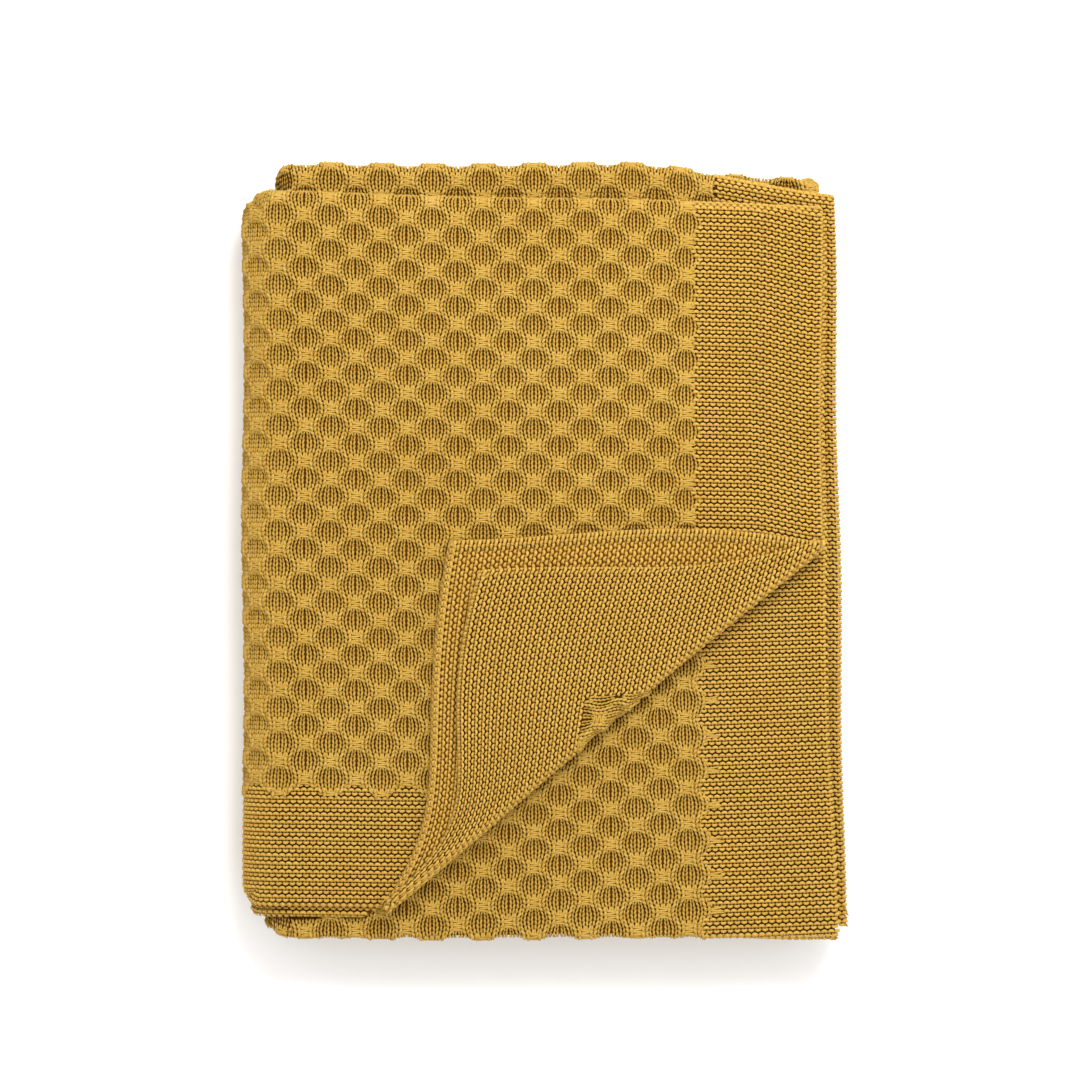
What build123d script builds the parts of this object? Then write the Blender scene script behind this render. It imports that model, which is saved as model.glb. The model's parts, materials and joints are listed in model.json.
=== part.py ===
from build123d import *
import math
import os

# A knitted throw, folded twice along its length and twice across its width into a
# pack of four packets, each four layers thick. One corner of the two uppermost
# layers is turned back over a slanting crease. The whole throw is one knitted
# panel, so each solid below is a region of that panel as the folds divide it.
#
# Frame: the pack lies on a table, +Z up. The left fold is at -X, the selvedges
# are at +X, the back folds are at +Y and the hems are at -Y. The origin is at the
# middle of the pack's box, on the table.

# ---- Driving dimensions, mm ----
pack_width = 332.0          # left fold to the selvedge that lies furthest out
pack_depth = 425.0          # back folds to front folds
ply = 3.4                   # one layer of knitting, lying in the pack
plies_per_packet = 4
clearance = 0.3             # air between regions that move against each other

border_width = 69.0         # garter-stitch border along each selvedge
hem_depth = 62.0            # garter-stitch border along each hem

top_side_inset = 14.0       # top packet's selvedge, in from the pack's right side
top_back_inset = 15.5       # top packet's back fold, in from the pack's back
top_hem_inset = 16.5        # uppermost hem, in from the pack's front
second_hem_inset = 10.5     # hem of the layer below it
under_side_inset = 8.0      # layers below those two, in from the pack's right side
right_fold_inset = 13.0     # fold of the two lower packets
second_front_inset = 6.5
third_front_inset = 5.5
third_back_inset = 2.5
fourth_front_inset = 4.5
fourth_back_inset = 3.5

corner_along_hem = 233.0    # length of hem that is turned back with the corner
corner_up_side = 198.0      # length of selvedge that is turned back with it
first_tip_along = 153.0     # turned-back corner of the uppermost layer
first_tip_reach = 135.0
second_tip_along = 155.0    # and of the layer that was under it
second_tip_reach = 112.0
crease_hem_end = 8.0        # the crease's roll stops short of both edges
crease_side_end = 16.0
front_round = 3.0           # rounding of the front edges


# ---- Heights, from the table up ----
packet_height = plies_per_packet * ply
half_height = 2 * packet_height
second_base = half_height + clearance
top_base = second_base + packet_height
second_leaf_base = top_base + 2 * ply
top_leaf_base = second_leaf_base + ply
pack_top = top_leaf_base + ply
corner_base = pack_top + clearance

# ---- Edges seen from above ----
right = pack_width / 2
left = -right
back = pack_depth / 2
front = -back
hinge_height = half_height + clearance / 2   # between the lower and the upper half
fold_start = left + hinge_height             # where the left folds begin to turn
upper_start = fold_start + clearance
top_selvedge = right - top_side_inset
top_back = back - top_back_inset
top_hem = front + top_hem_inset
second_hem = front + second_hem_inset
under_selvedge = right - under_side_inset
right_fold = right - right_fold_inset
back_round = packet_height / 2           # radius of a packet's back fold

# ---- The slanting crease ----
crease_length = math.hypot(corner_along_hem, corner_up_side)
crease_x = corner_along_hem / crease_length
crease_y = corner_up_side / crease_length
roll_radius = 2 * ply - clearance        # two layers wrapped round the crease
roll_axis_height = pack_top + clearance / 2
roll_reach = roll_radius + clearance     # everything else starts this far off


def crease_point(along, inward):
    """A point along the crease from its hem end, and square to it towards the middle."""
    x = top_selvedge - corner_along_hem + along * crease_x - inward * crease_y
    y = top_hem + along * crease_y + inward * crease_x
    return (x, y)


def turned_away():
    """The area past the crease, where the two uppermost layers are turned back."""
    cut = roll_radius + roll_reach
    far = 2 * (pack_width + pack_depth)
    return [
        crease_point(-far, cut),
        crease_point(far, cut),
        crease_point(far, -far),
        crease_point(-far, -far),
    ]


def turned_back(tip_along, tip_reach):
    """A turned-back corner, from where it leaves the crease's roll to its tip."""
    start = roll_radius + roll_reach
    share = start / tip_reach
    crease_end = crease_length - crease_side_end
    return [
        crease_point(tip_along * share, start),
        crease_point(crease_end - (crease_end - tip_along) * share, start),
        crease_point(tip_along, tip_reach),
    ]


def keep(builder, name):
    """Names a finished region and writes it."""
    builder.part.label = name
    export_step(builder.part, f"parts/{name}.step")


os.makedirs("parts", exist_ok=True)

# ---- Packets that lie flat: x low, x high, y low, y high, base ----
packets = {
    "fourth_packet": (
        fold_start,
        right_fold - packet_height,
        front + fourth_front_inset,
        back - fourth_back_inset,
        0,
    ),
    "third_packet": (
        fold_start,
        right_fold - packet_height,
        front + third_front_inset,
        back - third_back_inset,
        packet_height,
    ),
    "second_packet": (
        upper_start,
        right - border_width,
        front + second_front_inset,
        back,
        second_base,
    ),
    "second_packet_side_border": (
        right - border_width,
        right,
        front + second_front_inset,
        back,
        second_base,
    ),
}
for name, (x_low, x_high, y_low, y_high, base) in packets.items():
    with BuildPart() as packet:
        with BuildSketch(Plane.XY.offset(base)):
            with BuildLine():
                Polyline(
                    (x_low, y_low),
                    (x_high, y_low),
                    (x_high, y_high - back_round),
                    (x_low, y_high - back_round),
                    close=True,
                )
            make_face()
        extrude(amount=packet_height)
        front_edges = packet.edges().filter_by(Axis.X).group_by(Axis.Y)[0]
        fillet(front_edges, front_round)
    keep(packet, name)

# ---- Back folds, where each packet's layers turn round ----
# x low, x high, y high, base
back_folds = {
    "fourth_packet_back_fold": (
        fold_start,
        right_fold - packet_height,
        back - fourth_back_inset,
        0,
    ),
    "third_packet_back_fold": (
        fold_start,
        right_fold - packet_height,
        back - third_back_inset,
        packet_height,
    ),
    "second_packet_back_fold": (upper_start, right, back, second_base),
    "top_packet_back_fold": (upper_start, top_selvedge, top_back, top_base),
}
for name, (x_low, x_high, y_high, base) in back_folds.items():
    fold_y = y_high - back_round
    with BuildPart() as back_fold:
        with BuildSketch(Plane.YZ.offset(x_low)):
            with BuildLine():
                ThreePointArc(
                    (fold_y, base),
                    (y_high, base + back_round),
                    (fold_y, base + packet_height),
                )
                Line((fold_y, base + packet_height), (fold_y, base))
            make_face()
        extrude(amount=x_high - x_low)
    keep(back_fold, name)

# ---- Left folds: inner radius, outer radius, y low, y high ----
# The outer fold joins the top and fourth packets, and the inner fold joins the two
# between them. The pack opens here like a book, about the middle of the folds.
inner_fold_radius = packet_height + clearance / 2
left_folds = {
    "inner_fold": (
        0,
        inner_fold_radius,
        front + second_front_inset,
        back - third_back_inset - back_round,
    ),
    "outer_fold": (
        inner_fold_radius,
        hinge_height,
        top_hem,
        top_back - back_round,
    ),
}
for name, (inner, outer, y_low, y_high) in left_folds.items():
    with BuildPart() as left_fold:
        with BuildSketch(Plane.XZ.offset(-y_high)):
            with BuildLine():
                ThreePointArc(
                    (fold_start, hinge_height - outer),
                    (fold_start - outer, hinge_height),
                    (fold_start, hinge_height + outer),
                )
                Line((fold_start, hinge_height + outer), (fold_start, hinge_height + inner))
                if inner > 0:
                    ThreePointArc(
                        (fold_start, hinge_height + inner),
                        (fold_start - inner, hinge_height),
                        (fold_start, hinge_height - inner),
                    )
                Line((fold_start, hinge_height - inner), (fold_start, hinge_height - outer))
            make_face()
        extrude(amount=y_high - y_low)
    keep(left_fold, name)

# ---- Right fold, which joins the third and fourth packets ----
with BuildPart() as right_fold_part:
    turn_x = right_fold - packet_height
    fold_back = back - fourth_back_inset - back_round
    fold_front = front + third_front_inset
    with BuildSketch(Plane.XZ.offset(-fold_back)):
        with BuildLine():
            ThreePointArc((turn_x, 0), (right_fold, packet_height), (turn_x, half_height))
            Line((turn_x, half_height), (turn_x, 0))
        make_face()
    extrude(amount=fold_back - fold_front)
keep(right_fold_part, "right_fold")

# ---- The top packet's two lower layers, joined by a fold along the front ----
with BuildPart() as under_leaves:
    with BuildSketch(Plane.XY.offset(top_base)):
        with BuildLine():
            Polyline(
                (upper_start, front),
                (under_selvedge, front),
                (under_selvedge, top_back - back_round),
                (upper_start, top_back - back_round),
                close=True,
            )
        make_face()
    extrude(amount=2 * ply)
    fillet(under_leaves.edges().filter_by(Axis.X).group_by(Axis.Y)[0], front_round)
keep(under_leaves, "under_leaves")

# ---- The two uppermost layers, cut short at the crease ----
# x low, x high, y low, y high, base
leaves = {
    "second_leaf": (
        upper_start,
        top_selvedge,
        second_hem,
        top_back - back_round,
        second_leaf_base,
    ),
    "top_leaf_field": (
        upper_start,
        top_selvedge - border_width,
        top_hem + hem_depth,
        top_back - back_round,
        top_leaf_base,
    ),
    "top_leaf_side_border": (
        top_selvedge - border_width,
        top_selvedge,
        top_hem + hem_depth,
        top_back - back_round,
        top_leaf_base,
    ),
    "top_leaf_hem": (
        upper_start,
        top_selvedge,
        top_hem,
        top_hem + hem_depth,
        top_leaf_base,
    ),
}
for name, (x_low, x_high, y_low, y_high, base) in leaves.items():
    with BuildPart() as leaf:
        with BuildSketch(Plane.XY.offset(base)):
            with BuildLine():
                Polyline((x_low, y_low), (x_high, y_low), (x_high, y_high), (x_low, y_high), close=True)
            make_face()
            with BuildLine():
                Polyline(*turned_away(), close=True)
            make_face(mode=Mode.SUBTRACT)
        extrude(amount=ply)
    keep(leaf, name)

# ---- The turned-back corner, which swings open about the crease ----
corners = {
    "corner_top_leaf": (first_tip_along, first_tip_reach, corner_base),
    "corner_second_leaf": (second_tip_along, second_tip_reach, corner_base + ply),
}
for name, (tip_along, tip_reach, base) in corners.items():
    with BuildPart() as corner:
        with BuildSketch(Plane.XY.offset(base)):
            with BuildLine():
                Polyline(*turned_back(tip_along, tip_reach), close=True)
            make_face()
        extrude(amount=ply)
    keep(corner, name)

# The roll is round about the hinge line, so it turns in place, and a square shoulder
# on its upper inner side meets both turned-back layers.
roll_start = crease_point(crease_hem_end, roll_radius)
roll_plane = Plane(
    origin=(*roll_start, roll_axis_height),
    x_dir=(-crease_y, crease_x, 0),
    z_dir=(crease_x, crease_y, 0),
)
with BuildPart() as corner_crease:
    with BuildSketch(roll_plane):
        Circle(roll_radius)
        with BuildLine():
            Polyline(
                (0, clearance / 2),
                (roll_reach, clearance / 2),
                (roll_reach, clearance / 2 + 2 * ply),
                (0, clearance / 2 + 2 * ply),
                close=True,
            )
        make_face()
    extrude(amount=crease_length - crease_hem_end - crease_side_end)
keep(corner_crease, "corner_crease")
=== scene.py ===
import json
import math
import bmesh
import bpy
import numpy as np
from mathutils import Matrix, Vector


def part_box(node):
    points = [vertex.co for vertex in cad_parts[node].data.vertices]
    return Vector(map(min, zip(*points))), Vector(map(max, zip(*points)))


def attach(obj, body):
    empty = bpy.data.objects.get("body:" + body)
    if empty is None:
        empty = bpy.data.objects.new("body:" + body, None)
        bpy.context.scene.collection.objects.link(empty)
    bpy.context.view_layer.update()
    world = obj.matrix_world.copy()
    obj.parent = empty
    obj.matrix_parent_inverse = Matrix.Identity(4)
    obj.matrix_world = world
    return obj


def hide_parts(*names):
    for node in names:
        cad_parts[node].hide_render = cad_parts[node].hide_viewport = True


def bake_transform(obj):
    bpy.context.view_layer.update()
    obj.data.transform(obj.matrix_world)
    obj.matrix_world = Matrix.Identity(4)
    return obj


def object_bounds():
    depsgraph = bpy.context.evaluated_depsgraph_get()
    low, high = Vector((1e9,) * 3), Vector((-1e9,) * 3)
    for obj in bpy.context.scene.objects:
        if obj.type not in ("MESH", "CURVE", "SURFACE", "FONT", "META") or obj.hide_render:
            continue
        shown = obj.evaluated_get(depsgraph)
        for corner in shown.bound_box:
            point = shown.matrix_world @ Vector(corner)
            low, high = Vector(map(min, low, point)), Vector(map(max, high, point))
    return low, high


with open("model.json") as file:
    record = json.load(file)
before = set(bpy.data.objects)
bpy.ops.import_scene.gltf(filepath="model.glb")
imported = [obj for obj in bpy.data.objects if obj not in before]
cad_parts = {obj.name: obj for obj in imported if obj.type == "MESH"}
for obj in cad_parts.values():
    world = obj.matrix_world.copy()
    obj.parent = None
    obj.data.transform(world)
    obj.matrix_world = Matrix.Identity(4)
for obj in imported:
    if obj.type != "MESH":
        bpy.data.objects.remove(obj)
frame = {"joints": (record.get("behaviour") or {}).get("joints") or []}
cad_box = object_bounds()

# A knitted throw, folded into a pack of four packets of four layers each. Every visible
# surface is made of separate lengths of yarn, which are set out flat as knitting and
# then carried round the folds. Under them lies one folded sheet for each packet.

MM = 0.001
UP = Vector((0, 0, 1))

# ---- Places, from the frame ----
leaf_low, leaf_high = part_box("top_leaf_hem")
PLY = leaf_high.z - leaf_low.z
PACKET = 4 * PLY
FOLD_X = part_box("outer_fold")[1].x          # where the left folds begin to turn
HINGE_Z = (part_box("outer_fold")[0].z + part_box("outer_fold")[1].z) / 2
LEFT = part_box("outer_fold")[0].x
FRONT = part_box("under_leaves")[0].y
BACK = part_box("second_packet_back_fold")[1].y
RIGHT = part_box("second_packet_side_border")[1].x
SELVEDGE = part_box("top_leaf_side_border")[1].x
UNDER_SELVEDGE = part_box("under_leaves")[1].x
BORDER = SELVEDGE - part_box("top_leaf_side_border")[0].x
TOP_HEM = leaf_low.y
SECOND_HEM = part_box("second_leaf")[0].y
HEM_DEPTH = leaf_high.y - leaf_low.y
TURN_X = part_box("right_fold")[0].x          # where the right fold begins to turn
TURN_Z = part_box("third_packet")[0].z
BASE = {
    "top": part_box("under_leaves")[0].z,
    "second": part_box("second_packet")[0].z,
    "third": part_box("third_packet")[0].z,
    "fourth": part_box("fourth_packet")[0].z,
}
BACK_OF = {name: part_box(f"{name}_packet_back_fold")[1].y for name in BASE}
FRONT_OF = {name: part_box(f"{name}_packet")[0].y for name in ("second", "third", "fourth")}
FRONT_OF["top"] = FRONT
OUTER_TURN = 1.5 * PLY                      # a packet's outer back fold, to mid-layer
INNER_TURN = 0.5 * PLY                      # the folds between neighbouring layers
EDGE_TURN = 1.2 * MM                        # yarn round a free edge
EDGE_INSET = 2.3 * MM                       # from a free edge in to where that turn starts


def layer_height(packet, layer):
    """Mid-height of one layer of a packet, counted from 0 at its underside."""
    return BASE[packet] + (layer + 0.5) * PLY


# ---- The slanting crease ----
corner_joint = [j for j in frame["joints"] if j["name"] == "corner_fold"][0]
ALONG = np.array(corner_joint["axis"][:2])
INWARD = np.array((-ALONG[1], ALONG[0]))
ROLL = np.array(corner_joint["pos_m"][:2])
ROLL_Z = corner_joint["pos_m"][2]


def inward(points):
    """How far points lie from the roll's axis towards the middle of the pack."""
    return (points[:, :2] - ROLL) @ INWARD


# ---- Yarn ----
def straight(start, end, rise=0.0):
    """A line from start to end that stands up by rise in the middle."""
    start = Vector(start)
    end = Vector(end)
    return lambda t: start.lerp(end, t) + UP * rise * math.sin(math.pi * min(max(t, 0), 1))


def add_yarn(bm, path, girth, sides, bands):
    """A closed length of yarn along path, its two ends drawn in to hide in the knit."""
    twist = bm.verts.layers.float_vector["twist"]
    strand = bm.verts.layers.int["strand"]
    number = 1 + max((vertex[strand] for vertex in bm.verts), default=-1)
    made = bmesh.ops.create_uvsphere(bm, u_segments=sides, v_segments=bands, radius=1)
    length = (path(1) - path(0)).length
    for vertex in made["verts"]:
        share = math.acos(min(max(-vertex.co.z, -1), 1)) / math.pi
        ahead = (path(share + 0.02) - path(share - 0.02)).normalized()
        side = ahead.cross(UP).normalized()
        over = side.cross(ahead)
        reach = math.hypot(vertex.co.x, vertex.co.y)
        round_x, round_y = 1.0, 0.0
        if reach > 1e-4:
            turn = math.atan2(vertex.co.y, vertex.co.x) + math.pi / sides
            round_x, round_y = math.cos(turn), math.sin(turn)
        fullness = girth * math.sqrt(reach) if reach > 1e-4 else 0.0
        vertex.co = path(share) + (over * round_x + side * round_y) * fullness
        vertex[twist] = (round_x, round_y, share * length)
        vertex[strand] = number


def new_stitch():
    bm = bmesh.new()
    bm.verts.layers.float_vector.new("twist")
    bm.verts.layers.int.new("strand")
    return bm


def finish_stitch(bm, name, size, start=(0, 0)):
    """Keeps one repeat of a stitch pattern, with which yarn each of its points is on."""
    mesh = bpy.data.meshes.new(name)
    bm.to_mesh(mesh)
    bm.free()
    strands = np.zeros(len(mesh.vertices), np.int32)
    mesh.attributes["strand"].data.foreach_get("value", strands)
    count = int(strands.max()) + 1
    return {"mesh": mesh, "strands": strands, "count": count, "size": size, "start": start}


# ---- Honeycomb stitch ----
WALE = 3.475 * MM                           # one column of stitches
ROW = 2.4125 * MM
REPEAT = 8                                  # columns and rows in one repeat
CELL_X = REPEAT * WALE
CELL_Y = REPEAT * ROW
CELL_START = (8.4 * MM, -0.5 * MM)          # where one hollow's middle lies on the pack
CELL_CENTRES = [(i * CELL_X, j * CELL_Y) for i in (0, 1) for j in (0, 1)]
CELL_CENTRES.append((CELL_X / 2, CELL_Y / 2))
FLOAT_CENTRES = [(CELL_X / 2, j * CELL_Y) for j in (0, 1)]
FLOAT_CENTRES += [(i * CELL_X, CELL_Y / 2) for i in (0, 1)]
HOLLOW_X = 8.1 * MM                         # half a cell's hollow across
HOLLOW_Y = 6.9 * MM
RELIEF_LOW = -0.6 * MM
RELIEF = 1.8 * MM
HOLLOW_TILT = 0.6 * MM                      # a hollow is deepest towards its top
HOLLOW_GIRTH = 0.86                         # a yarn's girth in the hollow, in mm
RIM_GAIN = 0.18                             # how much more it has on the rim
TOP_LOSS = 0.36                             # how much less at the top of the hollow
FLOAT_HALF = 5.9 * MM                       # half the width of the yarns that gather the rim
FLOAT_GAP = 1.25 * MM
FLOAT_GIRTH = 0.76 * MM
GATHER_X = 8 * MM                           # how far those yarns draw the columns in
GATHER_Y = 4.6 * MM
GATHER = 0.42


def rim_share(x, y):
    """From 0 in a cell's hollow to 1 on the rim around it."""
    near = min(math.hypot((x - cx) / HOLLOW_X, (y - cy) / HOLLOW_Y) for cx, cy in CELL_CENTRES)
    share = min(max((near - 0.72) / 0.42, 0), 1)
    return share * share * (3 - 2 * share)


def hollow_slope(x, y):
    """From -1 at the bottom of the nearest cell to 1 at its top."""

    def distance(centre):
        return math.hypot((x - centre[0]) / HOLLOW_X, (y - centre[1]) / HOLLOW_Y)

    nearest = min(CELL_CENTRES, key=distance)
    return min(max((y - nearest[1]) / HOLLOW_Y, -1), 1)


def knit_height(x, y):
    rim = rim_share(x, y)
    return RELIEF_LOW + RELIEF * rim - HOLLOW_TILT * hollow_slope(x, y) * (1 - rim)


def gathered(x, y):
    """Draws the columns in towards the yarns that gather the rim."""
    pull = 0.0
    for cx, cy in FLOAT_CENTRES:
        off_x = (x - cx) / GATHER_X
        off_y = (y - cy) / GATHER_Y
        pull += (x - cx) * math.exp(-(off_x ** 2) - off_y ** 2)
    return x - GATHER * pull


def honeycomb_stitch(name, sides, bands, float_bands):
    bm = new_stitch()
    for column in range(REPEAT):
        for row in range(REPEAT):
            x = (column + 0.5) * WALE
            y = (row + 0.5) * ROW
            if any(abs(x - cx) < 3.6 * MM and abs(y - cy) < 1.6 * MM for cx, cy in FLOAT_CENTRES):
                continue
            rim = rim_share(x, y)
            for lean in (-1, 1):
                ends = []
                for spread, up in ((0.11, -0.8), (0.35 + 0.16 * rim, 0.8)):
                    end_x = x + lean * spread * WALE
                    end_y = y + up * ROW
                    ends.append((gathered(end_x, end_y), end_y, knit_height(end_x, end_y)))
                thinned = TOP_LOSS * max(hollow_slope(x, y), 0) * (1 - rim)
                girth = (HOLLOW_GIRTH + RIM_GAIN * rim - thinned) * MM
                add_yarn(bm, straight(*ends, rise=0.35 * MM), girth, sides, bands)
    for cx, cy in FLOAT_CENTRES[::2]:
        for level in range(-2, 3):
            add_yarn(bm, float_path(cx, cy, level), FLOAT_GIRTH, 4, float_bands)
    return finish_stitch(bm, name, (CELL_X, CELL_Y), CELL_START)


def float_path(cx, cy, level):
    """One of the yarns that cross the rim: they close up towards their middles."""

    def path(t):
        bow = math.sin(math.pi * min(max(t, 0), 1))
        slant = (t - 0.5) * (0.9 if level % 2 else -0.9) * MM
        x = cx + (2 * t - 1) * (FLOAT_HALF + 0.2 * MM * abs(level))
        y = cy + level * FLOAT_GAP * (1.5 - 0.6 * bow) + slant
        return Vector((x, y, (0.5 + 0.8 * bow - 0.1 * abs(level)) * MM))

    return path


# ---- Garter stitch ----
LOOP_X = 3.7 * MM                           # one stitch across
RIDGE = 4.5 * MM                            # one ridge to the next


def loop_path(x, y, span, bow, drop, crown):
    """A loop of a ridge: bow up for the upper loops and down for the lower ones."""

    def path(t):
        arch = math.sin(math.pi * min(max(t, 0), 1))
        return Vector((x + (t - 0.5) * span, y + bow * arch, drop + crown * arch))

    return path


def garter_stitch(name, sides, bands):
    bm = new_stitch()
    upper = loop_path(LOOP_X / 2, 0.52 * RIDGE, 1.1 * LOOP_X, 1.3 * MM, -0.5 * MM, 1.1 * MM)
    lower = loop_path(LOOP_X, 0.5 * RIDGE, 0.95 * LOOP_X, -1.25 * MM, -0.55 * MM, 0.8 * MM)
    add_yarn(bm, upper, 1.14 * MM, sides, bands)
    add_yarn(bm, lower, 1.1 * MM, sides, bands)
    return finish_stitch(bm, name, (LOOP_X, RIDGE))


honeycomb = honeycomb_stitch("honeycomb", 4, 3, 5)
honeycomb_plain = honeycomb_stitch("honeycomb_plain", 3, 2, 3)
garter = garter_stitch("garter", 4, 6)
garter_plain = garter_stitch("garter_plain", 3, 3)


# ---- Materials ----
def srgb(red, green, blue):
    """A colour given as 0-255 sRGB values, made linear."""
    return tuple((c / 255) ** 2.2 for c in (red, green, blue)) + (1,)


def node(tree, kind, **settings):
    made = tree.nodes.new(kind)
    for key, value in settings.items():
        setattr(made, key, value)
    return made


def math_node(tree, operation, first, second):
    made = node(tree, "ShaderNodeMath", operation=operation)
    for socket, value in zip(made.inputs, (first, second)):
        if isinstance(value, (int, float)):
            socket.default_value = value
        else:
            tree.links.new(value, socket)
    return made.outputs[0]


def cotton(name, deep, middle, bright):
    """Dyed cotton yarn, with its twist. Its colour holds painted shade and light: darker low in the knit's
    hollows and brighter on top of the relief, from the depth attribute; the rest of its spread is random
    tone, dye mottle and fibre.
    """
    material = bpy.data.materials.new(name)
    material.use_nodes = True
    tree = material.node_tree
    link = tree.links.new
    shader = tree.nodes["Principled BSDF"]
    shader.inputs["Roughness"].default_value = 0.88
    shader.inputs["Specular IOR Level"].default_value = 0.22
    shader.inputs["Sheen Weight"].default_value = 0.25
    shader.inputs["Sheen Roughness"].default_value = 0.5
    shader.inputs["Sheen Tint"].default_value = bright
    place = node(tree, "ShaderNodeTexCoord").outputs["Object"]

    # Painted shade: the depth attribute darkens yarn that lies low in the knit's hollows and lightens yarn
    # on top of the relief.
    depth = node(tree, "ShaderNodeAttribute", attribute_name="depth").outputs["Fac"]
    tone = node(tree, "ShaderNodeAttribute", attribute_name="tone").outputs["Fac"]
    dye = node(tree, "ShaderNodeTexNoise")
    dye.inputs["Scale"].default_value = 14
    dye.inputs["Detail"].default_value = 3
    link(place, dye.inputs["Vector"])
    fibre = node(tree, "ShaderNodeTexNoise")
    fibre.inputs["Scale"].default_value = 1900
    fibre.inputs["Detail"].default_value = 4
    link(place, fibre.inputs["Vector"])

    # The ramp's factor: painted shade from depth, plus random tone per strand, dye mottle and fibre.
    shade = math_node(tree, "ADD", math_node(tree, "MULTIPLY", depth, 0.23),
                      math_node(tree, "MULTIPLY", tone, 0.2))
    shade = math_node(tree, "ADD", shade, math_node(tree, "MULTIPLY", dye.outputs["Fac"], 0.22))
    shade = math_node(tree, "ADD", shade, math_node(tree, "MULTIPLY", fibre.outputs["Fac"], 0.5))
    shade = math_node(tree, "SUBTRACT", shade, 0.09)
    ramp = node(tree, "ShaderNodeValToRGB")
    ramp.color_ramp.elements[0].position = 0.05
    ramp.color_ramp.elements[0].color = deep
    ramp.color_ramp.elements[1].position = 0.95
    ramp.color_ramp.elements[1].color = bright
    ramp.color_ramp.elements.new(0.5).color = middle
    link(shade, ramp.inputs["Fac"])
    link(ramp.outputs["Color"], shader.inputs["Base Color"])

    twist = node(tree, "ShaderNodeAttribute", attribute_name="twist").outputs["Vector"]
    parts = node(tree, "ShaderNodeSeparateXYZ")
    link(twist, parts.inputs["Vector"])
    angle = math_node(tree, "ARCTAN2", parts.outputs["Y"], parts.outputs["X"])
    lay = math_node(tree, "ADD", math_node(tree, "MULTIPLY", angle, 3),
                    math_node(tree, "MULTIPLY", parts.outputs["Z"], 3600))
    plies = math_node(tree, "SINE", lay, 0)
    height = math_node(tree, "ADD", math_node(tree, "MULTIPLY", plies, 0.5), fibre.outputs["Fac"])
    bump = node(tree, "ShaderNodeBump")
    bump.inputs["Strength"].default_value = 0.4
    bump.inputs["Distance"].default_value = 0.2 * MM
    link(height, bump.inputs["Height"])
    link(bump.outputs["Normal"], shader.inputs["Normal"])
    return material


def inner_cloth():
    """The cloth under the knit, seen only in the gaps between yarns; its dark brown is painted shade for
    the depth of those gaps.
    """
    material = bpy.data.materials.new("inner_cloth")
    material.use_nodes = True
    tree = material.node_tree
    shader = tree.nodes["Principled BSDF"]
    shader.inputs["Roughness"].default_value = 0.95
    shader.inputs["Specular IOR Level"].default_value = 0.1
    place = node(tree, "ShaderNodeTexCoord").outputs["Object"]
    grain = node(tree, "ShaderNodeTexNoise")
    grain.inputs["Scale"].default_value = 600
    grain.inputs["Detail"].default_value = 4
    tree.links.new(place, grain.inputs["Vector"])
    # Dark brown as painted shade for the deep gaps, with a random grain between two tones.
    ramp = node(tree, "ShaderNodeValToRGB")
    ramp.color_ramp.elements[0].position = 0.3
    ramp.color_ramp.elements[0].color = srgb(76, 46, 6)
    ramp.color_ramp.elements[1].position = 0.7
    ramp.color_ramp.elements[1].color = srgb(108, 70, 13)
    tree.links.new(grain.outputs["Fac"], ramp.inputs["Fac"])
    tree.links.new(ramp.outputs["Color"], shader.inputs["Base Color"])
    bump = node(tree, "ShaderNodeBump")
    bump.inputs["Strength"].default_value = 0.6
    bump.inputs["Distance"].default_value = 0.5 * MM
    tree.links.new(grain.outputs["Fac"], bump.inputs["Height"])
    tree.links.new(bump.outputs["Normal"], shader.inputs["Normal"])
    return material


# Each ramp runs from deep to bright: part of that spread is painted shade in the hollows and painted light
# on the stitch tops, part is the yarn's random tone.
yarn_field = cotton("mustard_yarn", srgb(140, 98, 26), srgb(174, 137, 58), srgb(192, 160, 86))
yarn_border = cotton("mustard_yarn_border", srgb(150, 107, 32), srgb(186, 147, 66), srgb(201, 166, 88))
shaded_gap_material = inner_cloth()


# ---- Carrying flat cloth round the folds ----
def smooth(value):
    share = np.clip(value, 0, 1)
    return share * share * (3 - 2 * share)


def roll(points, axis, sign, edge, radius):
    """Turns what lies past edge round a fold whose middle is radius below the cloth."""
    past = sign * (points[:, axis] - edge)
    turn = np.clip(past / radius, 0, math.pi)
    beyond = np.maximum(past - math.pi * radius, 0)
    reach = radius + points[:, 2]
    rolled = points.copy()
    rolled[:, axis] = edge + sign * np.where(past < 0, past, reach * np.sin(turn) - beyond)
    rolled[:, 2] = np.where(past < 0, points[:, 2], reach * np.cos(turn) - radius)
    return rolled


BACK_ROUND = {
    "top": 17 * MM,
    "under": 17 * MM,
    "second": 36 * MM,
    "third": 24 * MM,
    "fourth": 24 * MM,
}
FRONT_ROUND = {
    "top": 11 * MM,
    "under": 32 * MM,
    "second": 30 * MM,
    "third": 24 * MM,
    "fourth": 20 * MM,
}


def round_corner(x, y, edge_y, sign, radius):
    """Draws the left corner at edge_y in to a quarter circle; sign is +1 at the back."""
    off_x = np.maximum(LEFT + radius - x, 0)
    off_y = np.maximum(sign * (y - edge_y) + radius, 0)
    drawn_in = np.maximum(off_x, off_y) / np.maximum(np.hypot(off_x, off_y), 1e-9)
    drawn_in = np.where((off_x > 0) & (off_y > 0), drawn_in, 1)
    return x + off_x * (1 - drawn_in), y - sign * off_y * (1 - drawn_in)


SIDE_TO_SIDE_SLOPE = 0.0276                 # the top packet's back edge comes forward to the right
BACK_ASKEW = {                              # the others': by how much, and from which x on
    "second": (18 * MM, 41 * MM),
    "third": (5 * MM, 20 * MM),
    "fourth": (5 * MM, 20 * MM),
}
ASKEW_WIDTH = 150 * MM
SECOND_LEAN = 6.5 * MM                      # the second packet's right side leans in at the back
UNDER_SPREAD = 3.6 * MM                     # the under leaf's right side spreads at the front
UNDER_TAPER = 0.042
UNDER_LEAN = 4 * MM


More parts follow.
